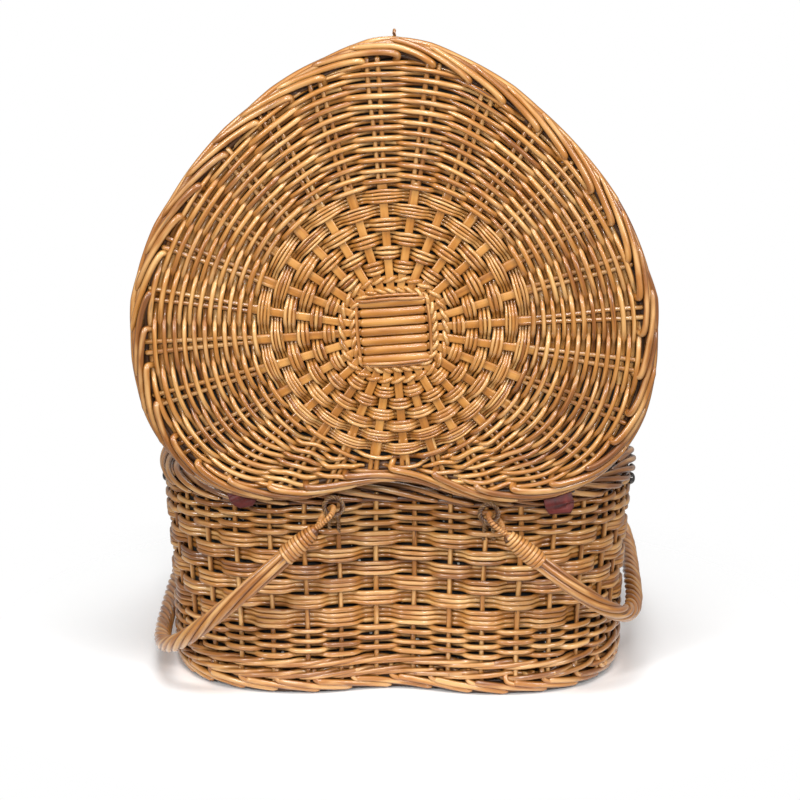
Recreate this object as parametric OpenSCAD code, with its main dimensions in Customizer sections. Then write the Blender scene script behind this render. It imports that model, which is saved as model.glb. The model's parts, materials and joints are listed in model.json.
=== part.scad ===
// Heart-shaped wicker picnic basket with a hinged lid and two swing handles.
// The lid stands open. The origin is on the floor, midway between the handles' front and back.

/* [Lid] */
// Half width of the lid at its widest
lid_half_w = 215; // [200:1:230]
// Reach of the tip from the lid's centre
lid_tip = 240; // [225:1:250]
// Reach of the two lobes from the lid's centre
lid_lobe = 147; // [140:1:155]
// Depth of the notch between the lobes
lid_notch = 17; // [10:1:25]
// Thickness of the rolled border round the lid
lid_border_t = 16; // [12:1:18]
// Angle between the closed lid and the lid as it stands
lid_open = 91; // [0:1:95]

/* [Basket] */
// Height of the basket's rim above the floor
rim_z = 182; // [170:1:200]
// Size of the foot's outline, as a share of the lid's
foot_scale = 0.90; // [0.86:0.005:0.91]
// Size of the wall's outline under the border, as a share of the lid's
wall_scale = 0.93; // [0.91:0.005:0.94]
// Size of the rolled border's outline, as a share of the lid's
rim_scale = 0.955; // [0.945:0.005:0.965]
// Number of upright stakes in the wall
stakes = 40; // [30:2:50]
// Number of sticks that run out from the middle of the lid and of the base
sticks = 28; // [20:4:36]

/* [Handles] */
// Diameter of the twisted willow handle
rope_d = 15; // [12:1:16]
// How far the left handle reaches from its pivot
left_reach = 208.5; // [205:0.5:215]
// How far the left handle hangs below level, in degrees
left_hang = 43; // [42:0.5:44]
// How far the right handle reaches from its pivot
right_reach = 163; // [162:0.5:170]
// How far the right handle hangs below level, in degrees
right_hang = 39.5; // [38:0.5:40]

/* [Hidden] */
$fn = 32;
gap = 0.3;

// Roundness of the heart: the tip's two exponents, the lobes' exponent and the lobes' place
tip_exp_x = 1.56;
tip_exp_y = 1.79;
lobe_exp = 2.44;
lobe_x = 0.4 * lid_half_w;
tip_steps = 12;
lobe_steps = 8;
notch_steps = 3;

// Middle of the handles' span, and where the weave's centre lies in each level
mid_y = 30;
foot_y = -6;
rim_y = -2;
lid_y = -5;

// Levels of the wall's bands
foot_top = 12;
wale_top = 32;
lower_top = 62;
slew_top = 140;
border_z = 163;
wall_t = 0.05;
border_t = 0.09;
base_z = 17;
rod_d = 5;
stake_d = 4.5;
slath_t = 9;
pairing_t = 10;
mat_t = 10;

// Hinge line of the lid, and the closed lid's levels
hinge_y = -143;
hinge_z = rim_z;
hinge_x = 130;
knuckle_w = 24;
knuckle_d = 7.2;
knuckle_room = 1;
tab_t = 1.5;
tab_h = 22;
hinge_rod_d = 3.8;
hinge_rod_past = 5;
running = 0.08;
lid_z = hinge_z + 0.5;
lid_mid = lid_z + lid_border_t / 2;
lid_weave_t = 12;
lid_edge = 0.93;
slath_w = 54;
slath_sticks = 7;
slath_turn = 4.5;
binder_d = 3.5;
pairing_r = 39.5;
slew_r = 47;
rand_r = 110;

// Handles: the pivots, the superellipse and the wrapped ends
left_pivot = [-50, 168];
right_pivot = [78, 163];
span_y = 200;
bail_exp = 4;
neck_d = 10;
neck_end = 19;
binding_end = 54;
binding_d = 17;
ring_back_y = -147;
ring_front_y = 218;
ring_r = 7.6;
cane_d = 3.8;
tail_len = 50;
tail_x = 3;
tail_spread = 1.5;
// How far each ring's tails run along y to reach the wall
left_back_tail = 11;
left_front_tail = -14;
right_back_tail = 8.5;
right_front_tail = -35;
eye_d = 8;
eye_gap = 2.2;

// Front fastening
latch_y = 232.5;
latch_z = 170;
latch_r = 3.6;
latch_cane_d = 2.8;
latch_x = 12;
peg_d = 4;
peg_from = 4;
peg_len = 32;

// Cloth linings
lining_inset = 0.009;
lining_floor_t = 1.5;
lid_lining_t = 1.2;

// Lid stays
stud_z = 152;
stud_r = 6;
stud_pin_d = 3;
stud_pin_len = 23;
stay_d = 3;
stay_foot = [177.5, 0, stud_z];
stay_head = [165, hinge_y + 1, 295];

// ---- Outline of the heart: k is its size as a share of the lid's ----
function tip_pt(k, a) =
    [k * lid_half_w * pow(sin(a), 2 / tip_exp_x), k * lid_tip * pow(cos(a), 2 / tip_exp_y)];
function lobe_pt(k, a) =
    [k * (lobe_x + (lid_half_w - lobe_x) * pow(cos(a), 2 / lobe_exp)),
     -k * lid_lobe * pow(sin(a), 2 / lobe_exp)];
function notch_pt(k, t) =
    [k * lobe_x * t, -k * (lid_lobe - lid_notch * (1 + cos(180 * t)) / 2)];
function half_heart(k) = concat(
    [for (i = [0 : tip_steps]) tip_pt(k, 90 * i / tip_steps)],
    [for (i = [1 : lobe_steps]) lobe_pt(k, 90 * i / lobe_steps)],
    [for (i = [1 : notch_steps]) notch_pt(k, 1 - i / notch_steps)]);
function heart(k) = let (h = half_heart(k), n = len(h)) concat(
    h, [for (i = [n - 2 : -1 : 1]) [-h[i][0], h[i][1]]]);

// Share of the wall's height at level z, and the outline's size and centre there
function up(z) = max(0, min(1, (z - wale_top) / (slew_top - wale_top)));
function wall_k(z) = foot_scale + (wall_scale - foot_scale) * pow(up(z), 1.5);
function wall_y(z) = foot_y + (rim_y - foot_y) * up(z);

// Running length along a line of points, and the point at a length
function lengths(p) = [for (i = 0, s = 0; i < len(p);
    s = s + (i + 1 < len(p) ? norm(p[i + 1] - p[i]) : 0), i = i + 1) s];
function at_length(p, c, s) =
    let (i = min(len(p) - 2, max([for (j = [0 : len(p) - 1]) c[j] <= s ? j : 0])),
         t = (s - c[i]) / (c[i + 1] - c[i]))
    p[i] * (1 - t) + p[i + 1] * t;

// Distance from the centre to the outline in direction a
function cross_z(u, v) = u[0] * v[1] - u[1] * v[0];
function reach(p, a) = let (d = [cos(a), sin(a)], n = len(p))
    max([for (i = [0 : n - 1])
        let (q = p[i], e = p[(i + 1) % n] - q, den = cross_z(d, e),
             t = abs(den) < 1e-9 ? -1 : cross_z(q, e) / den,
             s = abs(den) < 1e-9 ? -1 : cross_z(q, d) / den)
        (t > 0 && s >= 0 && s <= 1) ? t : 0]);

// ---- Shared shapes ----
module placed() { translate([0, -mid_y, 0]) children(); }

module on_lid() {
    placed() translate([0, hinge_y, hinge_z]) rotate([lid_open, 0, 0])
        translate([0, -hinge_y, -hinge_z]) children();
}

module rod(a, b, d) {
    v = b - a;
    translate(a) rotate([0, acos(v[2] / norm(v)), atan2(v[1], v[0])])
        cylinder(h = norm(v), d = d);
}

module heart_ring(k_out, k_in, y, z0, z1) {
    translate([0, y, z0]) linear_extrude(z1 - z0) difference() {
        polygon(heart(k_out));
        polygon(heart(k_in));
    }
}

// A band of the wall, built in rounds that follow the wall's flare
module wall_band(z0, z1, rounds) {
    h = (z1 - z0) / rounds;
    for (i = [0 : rounds - 1]) {
        zm = z0 + (i + 0.5) * h;
        heart_ring(wall_k(zm), wall_k(zm) - wall_t, wall_y(zm), z0 + i * h, z0 + (i + 1) * h);
    }
}

// Sticks that run out from the slath to the edge of a mat
module stick_star(k, z) {
    for (i = [0 : sticks - 1]) {
        a = 360 * (i + 0.5) / sticks + slath_turn;
        far = reach(heart(k), a);
        translate([0, 0, z]) rotate([0, 90, a]) translate([0, 0, pairing_r - 1])
            cylinder(h = far - pairing_r, d = rod_d);
    }
}

// The flat sticks of the square at the middle of a mat
module slath(z, t) {
    pitch = slath_w / slath_sticks;
    rotate(slath_turn) for (i = [0 : slath_sticks - 1])
        translate([-slath_w / 2, -slath_w / 2 + i * pitch + gap / 2, z - t / 2])
            cube([slath_w, pitch - gap, t]);
}

module disc_band(r0, r1, z, t) {
    translate([0, 0, z - t / 2]) linear_extrude(t) difference() {
        circle(r = r1, $fn = 64);
        circle(r = r0, $fn = 64);
    }
}

module cane_ring(pivot, y, tail_reach) {
    x = pivot[0];
    z = pivot[1];
    translate([x, y, z]) rotate([90, 0, 0]) rotate_extrude() translate([ring_r, 0])
        circle(d = cane_d, $fn = 20);
    for (dx = [-tail_x, tail_x])
        rod([x + dx, y, z - ring_r], [x + dx * tail_spread, y + tail_reach, z - tail_len], cane_d);
}

// ---- Handles: a bail in a plane that leans down by hang, on side -1 or 1 ----
function bail_pt(reach_s, t) =
    [reach_s * pow(sin(t), 2 / bail_exp),
     mid_y - span_y * sign(cos(t)) * pow(abs(cos(t)), 2 / bail_exp)];
function bail_line(reach_s) = [for (i = [0 : 180]) bail_pt(reach_s, i)];
function bail_run(reach_s, s0, s1, steps) =
    let (p = bail_line(reach_s), c = lengths(p), total = c[len(c) - 1],
         b = s1 > 0 ? s1 : total - s0)
    [for (i = [0 : steps]) at_length(p, c, s0 + (b - s0) * i / steps)];
function bail_place(pivot, hang, side, q) =
    [pivot[0] + side * q[0] * cos(hang), q[1], pivot[1] - q[0] * sin(hang)];

function turned(f) = [for (m = [len(f) - 1 : -1 : 0]) f[m]];

// A round tube swept along points that lie in the bail's plane
module bail_tube(run, d, pivot, hang, side, sides = 10) {
    n = len(run);
    function tangent(i) = let (v = run[min(n - 1, i + 1)] - run[max(0, i - 1)]) v / norm(v);
    across = [side * sin(hang), 0, cos(hang)];
    pts = [for (i = [0 : n - 1], j = [0 : sides - 1])
        let (u = tangent(i), a = 360 * j / sides,
             q = run[i] + [u[1], -u[0]] * cos(a) * d / 2)
        bail_place(pivot, hang, side, q) + across * sin(a) * d / 2];
    skin = [for (i = [0 : n - 2], j = [0 : sides - 1]) let (k = (j + 1) % sides)
        each [[i * sides + j, i * sides + k, (i + 1) * sides + k],
              [i * sides + j, (i + 1) * sides + k, (i + 1) * sides + j]]];
    ends = [[for (j = [sides - 1 : -1 : 0]) j], [for (j = [0 : sides - 1]) (n - 1) * sides + j]];
    faces = concat(skin, ends);
    polyhedron(pts, [for (f = faces) side > 0 ? f : turned(f)]);
}

// The wrapped binding at each end of a bail
module bail_bindings(reach_s, pivot, hang, side) {
    run = bail_run(reach_s, neck_end, binding_end, 3);
    bail_tube(run, binding_d, pivot, hang, side);
    bail_tube([for (q = run) [q[0], 2 * mid_y - q[1]]], binding_d, pivot, hang, side);
}

module bail_rope(reach_s, pivot, hang, side) {
    bail_tube(bail_run(reach_s, binding_end, -1, 44), rope_d, pivot, hang, side);
}

// The eye at each end: a neck, and a round pin through the cane ring
module bail_eyes(pivot, hang, side) {
    for (end = [[mid_y - span_y, ring_back_y + eye_gap],
               [mid_y + span_y, ring_front_y - eye_gap]]) {
        leg_y = end[0];
        out = sign(leg_y - mid_y);
        translate([pivot[0], leg_y + out * eye_d / 2, pivot[1]]) rotate([out * 90, 0, 0])
            cylinder(h = abs(leg_y - end[1]) + eye_d / 2, d = eye_d);
        rod([pivot[0], leg_y, pivot[1]],
            bail_place(pivot, hang, side, [neck_end, leg_y]), neck_d);
    }
}

// ---- Body of the basket ----
module foot_border() {
    color("peru") placed() heart_ring(foot_scale - 0.005, foot_scale - 0.065, foot_y, 0, foot_top);
}

module base_slath() {
    color("burlywood") placed() translate([0, foot_y, 0]) slath(base_z, slath_t);
}

module base_sticks() {
    color("burlywood") placed() translate([0, foot_y, 0]) stick_star(foot_scale - wall_t / 2, base_z);
}

module base_mat() {
    color("peru") placed() translate([0, foot_y, foot_top]) linear_extrude(mat_t) difference() {
        polygon(heart(foot_scale - wall_t - 0.003));
        circle(r = pairing_r, $fn = 64);
    }
}

module bottom_wale() {
    color("sienna") placed() wall_band(foot_top, wale_top, 2);
}

module lower_randing() {
    color("peru") placed() wall_band(wale_top, lower_top, 2);
}

module slew_band() {
    color("sandybrown") placed() wall_band(lower_top, slew_top, 6);
}

module upper_randing() {
    color("peru") placed() wall_band(slew_top, border_z, 2);
}

module side_stakes() {
    low = foot_top + 1;
    high = border_z + 6;
    mid_low = heart(wall_k(low) - wall_t / 2);
    mid_high = heart(wall_k(high) - wall_t / 2);
    loop_low = concat(mid_low, [mid_low[0]]);
    loop_high = concat(mid_high, [mid_high[0]]);
    run_low = lengths(loop_low);
    run_high = lengths(loop_high);
    all_low = run_low[len(run_low) - 1];
    all_high = run_high[len(run_high) - 1];
    color("burlywood") placed() for (i = [0 : stakes - 1]) {
        share = (i + 0.5) / stakes;
        a = at_length(loop_low, run_low, share * all_low);
        b = at_length(loop_high, run_high, share * all_high);
        rod([a[0], a[1] + wall_y(low), low], [b[0], b[1] + wall_y(high), high], stake_d);
    }
}

module top_border() {
    color("peru") placed() heart_ring(rim_scale, rim_scale - border_t, rim_y, border_z, rim_z);
}

// Cloth lining: a floor and a wall that stands just inside the weave
module lining() {
    k = foot_scale - wall_t - 0.008;
    floor_z = foot_top + mat_t + gap;
    color("dimgray") placed() {
        heart_ring(k, k - lining_inset, foot_y, floor_z, border_z - 1);
        translate([0, foot_y, floor_z]) linear_extrude(lining_floor_t)
            polygon(heart(k - lining_inset / 2));
    }
}

module ring_left_back() {
    color("tan") placed() cane_ring(left_pivot, ring_back_y, left_back_tail);
}

module ring_left_front() {
    color("tan") placed() cane_ring(left_pivot, ring_front_y, left_front_tail);
}

module ring_right_back() {
    color("tan") placed() cane_ring(right_pivot, ring_back_y, right_back_tail);
}

module ring_right_front() {
    color("tan") placed() cane_ring(right_pivot, ring_front_y, right_front_tail);
}

// A leather loop round the hinge rod, with its tab down the back of the border
module hinge_strap(side) {
    placed() translate([side * hinge_x - knuckle_w / 2, hinge_y, hinge_z]) rotate([90, 0, 90])
        difference() {
            union() {
                cylinder(h = knuckle_w, d = knuckle_d);
                translate([knuckle_d / 2 - tab_t, -tab_h, 0]) cube([tab_t, tab_h, knuckle_w]);
            }
            translate([0, 0, -1]) cylinder(h = knuckle_w + 2, d = hinge_rod_d + 2 * running);
        }
}

module hinge_strap_left() {
    color("darkred") hinge_strap(-1);
}

module hinge_strap_right() {
    color("darkred") hinge_strap(1);
}

// Domed studs through the wall, which hold the feet of the lid stays
module stay_studs() {
    dome_x = wall_scale * lid_half_w + gap;
    color("silver") placed() for (side = [-1, 1]) translate([side * dome_x, 0, stud_z])
        rotate([0, side * 90, 0]) {
            intersection() {
                sphere(r = stud_r);
                cylinder(h = stud_r, r = stud_r);
            }
            translate([0, 0, 1 - stud_pin_len]) cylinder(h = stud_pin_len, d = stud_pin_d);
        }
}

module stay_strap(side) {
    rod([side * stay_foot[0], stay_foot[1], stay_foot[2]],
        [side * stay_head[0], stay_head[1], stay_head[2]], stay_d);
}

module stay_strap_left() {
    color("darkred") placed() stay_strap(-1);
}

module stay_strap_right() {
    color("darkred") placed() stay_strap(1);
}

// Two small cane loops at the front of the rim, which the peg passes through
module latch_loops() {
    color("tan") placed() for (side = [-1, 1]) translate([side * latch_x, latch_y, latch_z])
        rotate([0, 90, 0]) rotate_extrude() translate([latch_r, 0]) circle(d = latch_cane_d, $fn = 20);
}

// ---- Lid, drawn closed and then turned open ----
module lid_slath() {
    color("burlywood") on_lid() translate([0, lid_y, 0]) slath(lid_mid, slath_t);
}

module lid_binders() {
    far = slath_w / 2 + binder_d / 2 + gap;
    color("tan") on_lid() translate([0, lid_y, lid_mid + 2]) rotate(slath_turn)
        for (turn = [0 : 90 : 270]) rotate(turn)
            translate([-slath_w / 2 + 1, far, 0]) rotate([0, 90, 0]) cylinder(h = slath_w - 2, d = binder_d);
}

module lid_sticks() {
    color("burlywood") on_lid() translate([0, lid_y, 0]) stick_star(1 - (1 - lid_edge) / 2, lid_mid);
}

module lid_pairing() {
    color("tan") on_lid() translate([0, lid_y, 0]) disc_band(pairing_r, slew_r, lid_mid, pairing_t);
}

module lid_slewing() {
    color("sandybrown") on_lid() translate([0, lid_y, 0]) disc_band(slew_r, rand_r, lid_mid, lid_weave_t);
}

module lid_randing() {
    color("peru") on_lid() translate([0, lid_y, lid_mid - lid_weave_t / 2])
        linear_extrude(lid_weave_t) difference() {
            polygon(heart(lid_edge));
            circle(r = rand_r, $fn = 64);
        }
}

module lid_border() {
    color("peru") on_lid() difference() {
        heart_ring(1, lid_edge, lid_y, lid_z, lid_z + lid_border_t);
        for (side = [-1, 1])
            translate([side * hinge_x - knuckle_w / 2 - knuckle_room, hinge_y, hinge_z])
                rotate([0, 90, 0])
                    cylinder(h = knuckle_w + 2 * knuckle_room, d = knuckle_d + 2 * knuckle_room);
    }
}

module lid_lining() {
    color("dimgray") on_lid() translate([0, lid_y, lid_z + gap]) linear_extrude(lid_lining_t)
        polygon(heart(lid_edge - 0.005));
}

module hinge_rods() {
    color("silver") on_lid() for (side = [-1, 1])
        translate([side * hinge_x - knuckle_w / 2 - hinge_rod_past, hinge_y, hinge_z])
            rotate([0, 90, 0]) cylinder(h = knuckle_w + 2 * hinge_rod_past, d = hinge_rod_d);
}

// A long cane loop under the lid's tip, which stands between the two on the rim
module lid_loop() {
    top = lid_z + 4;
    color("tan") on_lid() {
        translate([0, latch_y, latch_z]) rotate([0, 90, 0]) rotate_extrude(start = -90, angle = 180)
            translate([latch_r, 0]) circle(d = latch_cane_d, $fn = 20);
        for (dy = [-latch_r, latch_r])
            rod([0, latch_y + dy, latch_z], [0, latch_y + dy, top], latch_cane_d);
    }
}

// ---- Handles ----
module left_rope() {
    color("peru") placed() bail_rope(left_reach, left_pivot, left_hang, -1);
}

module left_bindings() {
    color("burlywood") placed() bail_bindings(left_reach, left_pivot, left_hang, -1);
}

module left_eyes() {
    color("tan") placed() bail_eyes(left_pivot, left_hang, -1);
}

module right_rope() {
    color("peru") placed() bail_rope(right_reach, right_pivot, right_hang, 1);
}

module right_bindings() {
    color("burlywood") placed() bail_bindings(right_reach, right_pivot, right_hang, 1);
}

module right_eyes() {
    color("tan") placed() bail_eyes(right_pivot, right_hang, 1);
}

// Wooden peg, drawn out of the lid's loop
module latch_peg() {
    color("burlywood") placed() translate([peg_from, latch_y, latch_z]) rotate([0, 90, 0]) {
        cylinder(h = peg_len, d = peg_d);
        translate([0, 0, peg_len]) cylinder(h = 4, d = 1.8 * peg_d);
    }
}

foot_border();
base_slath();
base_sticks();
base_mat();
bottom_wale();
lower_randing();
slew_band();
upper_randing();
side_stakes();
top_border();
lining();
ring_left_back();
ring_left_front();
ring_right_back();
ring_right_front();
hinge_strap_left();
hinge_strap_right();
stay_studs();
stay_strap_left();
stay_strap_right();
latch_loops();
lid_slath();
lid_binders();
lid_sticks();
lid_pairing();
lid_slewing();
lid_randing();
lid_border();
lid_lining();
hinge_rods();
lid_loop();
left_rope();
left_bindings();
left_eyes();
right_rope();
right_bindings();
right_eyes();
latch_peg();
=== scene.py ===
"""A heart-shaped willow picnic basket, seen from its hinge side with the lid standing open."""
import json
import math

import bpy
import numpy as np
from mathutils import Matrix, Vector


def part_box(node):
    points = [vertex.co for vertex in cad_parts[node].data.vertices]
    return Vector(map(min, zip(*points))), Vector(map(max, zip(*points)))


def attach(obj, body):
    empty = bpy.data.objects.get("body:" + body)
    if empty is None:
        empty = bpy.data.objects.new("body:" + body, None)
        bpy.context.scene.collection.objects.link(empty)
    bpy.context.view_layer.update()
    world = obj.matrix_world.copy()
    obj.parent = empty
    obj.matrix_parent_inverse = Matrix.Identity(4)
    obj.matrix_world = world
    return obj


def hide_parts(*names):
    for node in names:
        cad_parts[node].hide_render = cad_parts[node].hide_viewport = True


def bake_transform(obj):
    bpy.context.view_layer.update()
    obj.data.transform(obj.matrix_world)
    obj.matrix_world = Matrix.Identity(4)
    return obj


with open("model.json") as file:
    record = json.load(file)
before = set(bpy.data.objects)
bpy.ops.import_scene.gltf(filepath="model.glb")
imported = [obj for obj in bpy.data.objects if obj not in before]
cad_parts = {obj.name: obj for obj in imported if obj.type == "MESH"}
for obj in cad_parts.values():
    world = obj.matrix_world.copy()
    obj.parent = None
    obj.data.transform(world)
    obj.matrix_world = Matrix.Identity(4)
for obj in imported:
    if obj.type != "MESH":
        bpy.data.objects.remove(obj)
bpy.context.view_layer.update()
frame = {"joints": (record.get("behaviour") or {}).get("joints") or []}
rng = np.random.default_rng(12)
draw = rng.uniform

MM = 0.001
PI = math.pi
TAU = 2 * math.pi


def box_mm(node):
    low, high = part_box(node)
    return np.array(low) / MM, np.array(high) / MM


def pivot_mm(name):
    joint = next(j for j in frame["joints"] if j["name"] == name)
    return np.array(joint["pos_m"]) / MM


def xyz(x, y, z):
    """Points from three coordinates, each an array or one number."""
    return np.stack(np.broadcast_arrays(x, y, z), -1)


def running(points):
    """The running length of a line at each of its points."""
    return np.r_[0, np.cumsum(np.linalg.norm(np.diff(points, axis=0), axis=1))]


def at_length(length, run, points):
    """Places on a line at these running lengths."""
    return np.stack([np.interp(length, run, column) for column in points.T], -1)


def unit(v):
    """Vectors brought to length one."""
    return v / np.maximum(np.linalg.norm(v, axis=-1, keepdims=True), 1e-9)


def softened(ring, times):
    """A closed ring of values, averaged with their neighbours so many times."""
    for _ in range(times):
        ring = (np.roll(ring, 1, 0) + 2 * ring + np.roll(ring, -1, 0)) / 4
    return ring


# ---- Sizes in millimetres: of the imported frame, and of the outline that the part is drawn from ----
HINGE = pivot_mm("lid_hinge")
LEFT_PIVOT = pivot_mm("left_handle_swing")
RIGHT_PIVOT = pivot_mm("right_handle_swing")
HALF_W = box_mm("lid_border")[1][0]
LID_OPEN = math.radians(91)
MID_Y = 30
TIP = 240
LOBE = 147
NOTCH = 17
LOBE_X = 0.4 * HALF_W
TIP_EXP_X = 1.56
TIP_EXP_Y = 1.79
LOBE_EXP = 2.44
OUTLINE_POINTS = 720

LID_Y = -5 - MID_Y
LID_MID = HINGE[2] + 8.5
BASE_Y = -6 - MID_Y
WALL_LEAN = 4
RIM_Y = BASE_Y + WALL_LEAN
FOOT_SCALE = 0.90
RIM_SCALE = 0.93
FLARE_POWER = 1.5
RIM_Z = box_mm("top_border")[1][2]
BORDER_Z = box_mm("top_border")[0][2]
FOOT_TOP = box_mm("foot_border")[1][2]
WALE_TOP = box_mm("bottom_wale")[1][2]
LOWER_TOP = box_mm("lower_randing")[1][2]
SLEW_TOP = box_mm("slew_band")[1][2]
WALL_MID = 6.0


# ---- The heart: an outline, its radius from the centre, and running length ----
def heart():
    """The lid's outline from its closed plan, counter-clockwise from the notch."""
    t = np.linspace(0, PI / 2, 90)
    tip = np.c_[HALF_W * np.sin(t) ** (2 / TIP_EXP_X), TIP * np.cos(t) ** (2 / TIP_EXP_Y)]
    lobe = np.c_[
        LOBE_X + (HALF_W - LOBE_X) * np.cos(t) ** (2 / LOBE_EXP),
        -LOBE * np.sin(t) ** (2 / LOBE_EXP),
    ]
    u = np.linspace(1, 0, 30)
    notch = np.c_[LOBE_X * u, -LOBE + NOTCH * (1 + np.cos(PI * u)) / 2]
    right = np.r_[tip, lobe[1:], notch[1:]][::-1]
    return np.r_[right, right[::-1][1:-1] * [-1, 1]]


def even(points, count):
    """A closed line of points, resampled at even lengths and lightly smoothed."""
    closed = np.r_[points, points[:1]]
    run = running(closed)
    return softened(at_length(np.linspace(0, run[-1], count, endpoint=False), run, closed), 6)


OUTLINE = even(heart(), OUTLINE_POINTS)
ANGLE = np.unwrap(np.arctan2(OUTLINE[:, 1], OUTLINE[:, 0]))
RADIUS = np.hypot(OUTLINE[:, 0], OUTLINE[:, 1])


def outline_radius(angle):
    """Distance from the heart's centre to the lid's edge in each direction."""
    a = np.mod(np.asarray(angle) - ANGLE[0], TAU) + ANGLE[0]
    return np.interp(a, np.r_[ANGLE, ANGLE[0] + TAU], np.r_[RADIUS, RADIUS[0]])


class Ring:
    """A closed outline in plan, with places and outward normals by running length."""

    def __init__(self, scale, centre_y):
        pts = OUTLINE * scale + [0, centre_y]
        self.pts = np.r_[pts, pts[:1]]
        self.run = running(self.pts)
        self.length = self.run[-1]
        along = unit(np.roll(pts, -3, 0) - np.roll(pts, 3, 0))
        out = unit(softened(np.c_[along[:, 1], -along[:, 0]], 8))
        self.out = np.r_[out, out[:1]]

    def at(self, share):
        """Places and outward normals at shares of the length, from 0 to 1."""
        s = np.mod(share, 1.0) * self.length
        return at_length(s, self.run, self.pts), unit(at_length(s, self.run, self.out))


def rise(z):
    """How far up the flaring part of the wall a height is, from 0 to 1."""
    return np.clip((np.asarray(z, float) - WALE_TOP) / (SLEW_TOP - WALE_TOP), 0, 1)


def wall_scale(z):
    return FOOT_SCALE + (RIM_SCALE - FOOT_SCALE) * rise(z) ** FLARE_POWER


WALL_RING = Ring(1.0, 0)


def wall(share, z, depth):
    """Points on the wall: depth is measured outward from the middle of the weave."""
    share, z, depth = np.broadcast_arrays(np.asarray(share, float), z, depth)
    place, out = WALL_RING.at(share)
    xy = place * wall_scale(z)[..., None] + out * (depth - WALL_MID)[..., None]
    x, y = xy[..., 0], xy[..., 1] + BASE_Y + WALL_LEAN * rise(z)
    return xyz(x, y, z), xyz(out[..., 0], out[..., 1], 0)


def lid_place(xy, height):
    """Points on the open lid, from its closed plan and the height over its middle plane."""
    xy = np.asarray(xy, float)
    height = np.broadcast_to(height, xy.shape[:-1])
    y = xy[..., 1] + LID_Y - HINGE[1]
    z = height + LID_MID - HINGE[2]
    c, s = math.cos(LID_OPEN), math.sin(LID_OPEN)
    return xyz(xy[..., 0], HINGE[1] + y * c - z * s, HINGE[2] + y * s + z * c)


LID_UP = np.array([0, -math.sin(LID_OPEN), math.cos(LID_OPEN)])


def polar(radius, angle):
    """Points in plan at this distance and direction."""
    return np.stack([radius * np.cos(angle), radius * np.sin(angle)], -1)


# ---- Rods: round or flat strands swept along points, many to a mesh ----
BOX_EXP = 0.4
RUN_SPREAD = 4000
DOME_REACH = (0.70, 0.42)
DOME_RADIUS = np.array([0.45, 0.82])


class Weave:
    """Collects strands, then makes one mesh of them with what their material needs."""

    def __init__(self, sides=8):
        self.sides = sides
        self.points, self.faces, self.caps, self.rod, self.ring = [], [], [], [], []
        self.count = 0

    def strand(self, path, radius, up, flat=1.0, tone=None, closed=False, boxy=False, blunt=False):
        """A strand along path in mm. up is the direction its flat side faces."""
        path = np.asarray(path, float)
        radius = np.broadcast_to(radius, len(path)).astype(float)
        up = np.broadcast_to(up, path.shape)
        if not (closed or blunt):
            path, radius, up = rounded_ends(path, radius, up)
        n, k = len(path), self.sides
        if closed:
            along = np.roll(path, -1, 0) - np.roll(path, 1, 0)
        else:
            along = np.gradient(path, axis=0)
        along = unit(along)
        side = unit(np.cross(along, up))
        top = np.cross(side, along)
        a = TAU * (np.arange(k) + 0.5) / k
        ca, sa = np.cos(a), np.sin(a)
        if boxy:
            ca, sa = (np.sign(v) * np.abs(v) ** BOX_EXP for v in (ca, sa))
        ring = (
            path[:, None]
            + radius[:, None, None] * side[:, None] * ca[None, :, None]
            + (radius * flat)[:, None, None] * top[:, None] * sa[None, :, None]
        )
        run = running(path) + draw(0, RUN_SPREAD)
        tone = draw(0, 1) if tone is None else tone
        i = np.arange(n if closed else n - 1)[:, None]
        j = np.arange(k)[None]
        i2, j2 = (i + 1) % n, (j + 1) % k
        quads = np.stack([i * k + j, i2 * k + j, i2 * k + j2, i * k + j2], -1).reshape(-1, 4)
        self.faces.append(quads + self.count)
        self.points.append(ring.reshape(-1, 3))
        self.rod.append(xyz(np.repeat(run * MM, k), tone, 0))
        self.ring.append(xyz(np.tile(ca, n), np.tile(sa, n), 0))
        if not closed:
            self.caps.append(self.count + np.arange(k))
            self.caps.append(self.count + (n - 1) * k + np.arange(k)[::-1])
        self.count += n * k

    def build(self, name, material, node, slot="willow", body="basket"):
        """Makes one piece of all the strands, which stands for a node."""
        points = np.concatenate(self.points) * MM
        faces = np.concatenate(self.faces).tolist() + [cap.tolist() for cap in self.caps]
        mesh = bpy.data.meshes.new(name)
        mesh.from_pydata(points.tolist(), [], faces)
        carry(mesh, "rod", np.concatenate(self.rod))
        carry(mesh, "ring", np.concatenate(self.ring))
        return finish_mesh(mesh, name, material, node, body)


def carry(mesh, name, values):
    """Stores three values at each point for the material to read."""
    data = values.astype(np.float32).ravel()
    mesh.attributes.new(name, "FLOAT_VECTOR", "POINT").data.foreach_set("vector", data)


def rounded_ends(path, radius, up):
    """Adds two smaller rings at each end of a strand, so that it ends in a low dome."""
    head = radius[0] * unit(path[0] - path[1])
    tail = radius[-1] * unit(path[-1] - path[-2])
    first = [path[0] + head * reach for reach in DOME_REACH]
    last = [path[-1] + tail * reach for reach in DOME_REACH[::-1]]
    radius = np.r_[radius[0] * DOME_RADIUS, radius, radius[-1] * DOME_RADIUS[::-1]]
    return np.r_[first, path, last], radius, np.r_[up[:1], up[:1], up, up[-1:], up[-1:]]


def finish_mesh(mesh, name, material, node, body):
    """Makes a piece of a mesh."""
    mesh.polygons.foreach_set("use_smooth", [True] * len(mesh.polygons))
    mesh.update()
    piece = bpy.data.objects.new(name, mesh)
    bpy.context.scene.collection.objects.link(piece)
    mesh.materials.append(material)
    if body:
        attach(piece, body)
    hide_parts(node)
    return piece


def wander(n, size, knots):
    """A slow random drift of n values with about this size."""
    knots = max(4, int(knots))
    return np.interp(np.linspace(0, knots - 1, n), np.arange(knots), rng.normal(0, size, knots))


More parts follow.
